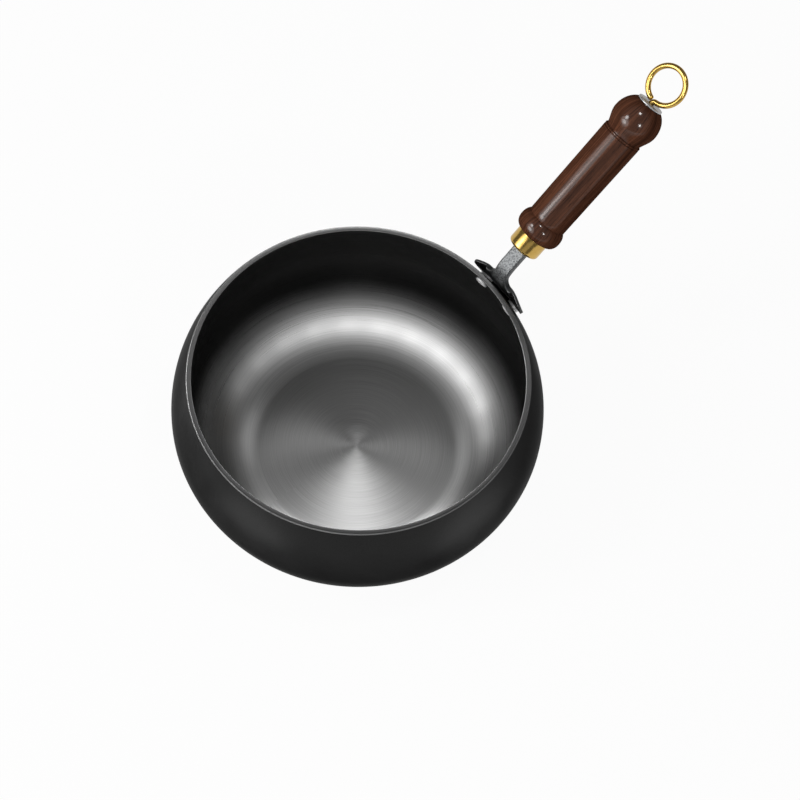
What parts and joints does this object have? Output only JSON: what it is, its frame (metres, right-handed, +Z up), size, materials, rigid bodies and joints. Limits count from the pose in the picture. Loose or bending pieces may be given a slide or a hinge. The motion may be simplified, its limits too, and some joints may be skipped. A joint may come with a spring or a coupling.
{
  "type": "cooking pot",
  "caption": "Round-bellied open iron pot with a flat-cut rim, a riveted bracket, and a turned wooden handle with a brass ferrule and a brass hanging eye.",
  "frame": {"origin": "centre of the flat underside of the pot", "axes": "+Z up out of the pot's mouth, +X towards the handle"},
  "size_m": [0.405, 0.2668, 0.2567],
  "materials": {
    "black_iron": "bare iron, dark outside, with fine turning marks on the floor inside",
    "forged_steel": "grey forged skin with a fine grain",
    "rivet_steel": "pale satin steel",
    "polished_brass": "polished brass",
    "dark_wood": "dark brown turned wood under clear lacquer"
  },
  "bodies": {
    "pot": {"pot_body": "black_iron", "handle_bracket": "forged_steel", "rivet_left": "rivet_steel", "rivet_right": "rivet_steel", "rivet_collar_left": "rivet_steel", "rivet_collar_right": "rivet_steel", "brass_ferrule": "polished_brass", "wooden_grip": "dark_wood", "end_washer": "rivet_steel"},
    "eye": {"screw_eye": "polished_brass"}
  },
  "joints": [
    {"name": "eye_turn", "type": "hinge", "parent": "pot", "child": "eye", "pos_m": [0.25946, 0, 0.24588], "axis": [0.7547, 0, 0.6561], "range_deg": [-90, 90]}
  ]
}
